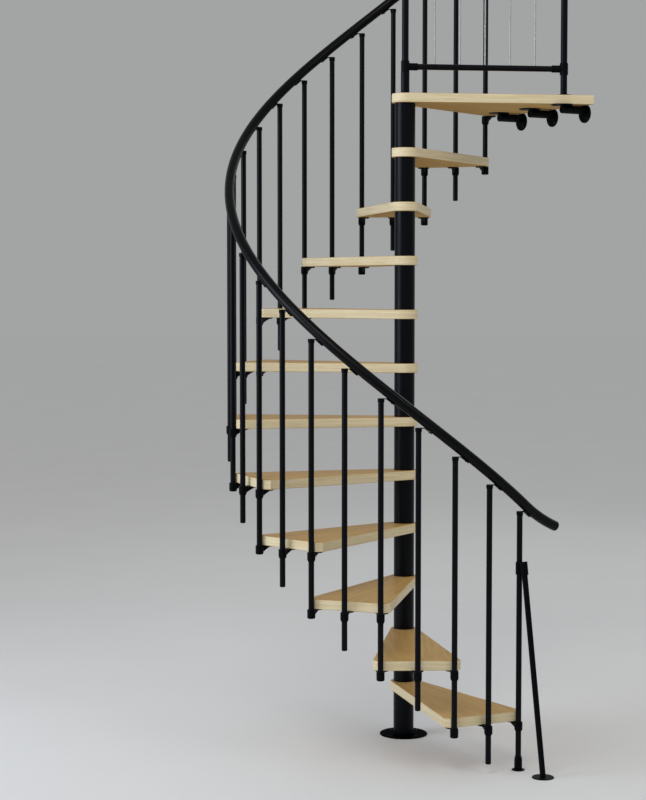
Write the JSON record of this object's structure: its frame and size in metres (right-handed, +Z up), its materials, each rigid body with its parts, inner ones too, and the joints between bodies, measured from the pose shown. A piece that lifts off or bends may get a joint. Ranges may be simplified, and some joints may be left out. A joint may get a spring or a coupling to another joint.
{
  "type": "spiral staircase",
  "caption": "Open spiral stair with wooden wedge treads on a steel pole, outer balusters, a helical handrail and a railed landing that anchors to a slab.",
  "frame": {"origin": "centre of the base plate's underside, on the pole's axis, at floor level", "axes": "+Z up along the pole, +X to the viewer's right and +Y away from the viewer as in the picture; the stair climbs clockwise seen from above"},
  "size_m": [1.4404, 1.4079, 3.4939],
  "materials": {
    "lacquered_wood": "clear satin lacquer",
    "black_tube": "satin powder coat",
    "black_fittings": "satin powder coat",
    "black_rail": "satin",
    "bare_rod": "satin"
  },
  "bodies": {
    "root": {"back_brackets": "black_fittings", "balusters_01": "black_tube", "balusters_02": "black_tube", "balusters_03": "black_tube", "balusters_04": "black_tube", "balusters_05": "black_tube", "balusters_06": "black_tube", "balusters_07": "black_tube", "balusters_08": "black_tube", "balusters_09": "black_tube", "balusters_10": "black_tube", "balusters_11": "black_tube", "balusters_12": "black_tube", "bar_sockets": "black_fittings", "base_plate": "black_tube", "bracing_strut": "black_fittings", "centre_tube": "black_tube", "end_post": "black_tube", "first_foot": "black_fittings", "front_brackets": "black_fittings", "guard_bar": "black_tube", "guard_rail": "black_rail", "guard_rods": "bare_rod", "handrail": "black_rail", "landing": "lacquered_wood", "middle_brackets": "black_fittings", "pole_post": "black_tube", "rail_clips": "black_fittings", "slab_anchor_1": "black_fittings", "slab_anchor_2": "black_fittings", "slab_anchor_3": "black_fittings", "spacer_tubes": "black_tube", "strut_clamp": "black_fittings", "tread_01": "lacquered_wood", "tread_02": "lacquered_wood", "tread_03": "lacquered_wood", "tread_04": "lacquered_wood", "tread_05": "lacquered_wood", "tread_06": "lacquered_wood", "tread_07": "lacquered_wood", "tread_08": "lacquered_wood", "tread_09": "lacquered_wood", "tread_10": "lacquered_wood", "tread_11": "lacquered_wood"}
  },
  "joints": []
}
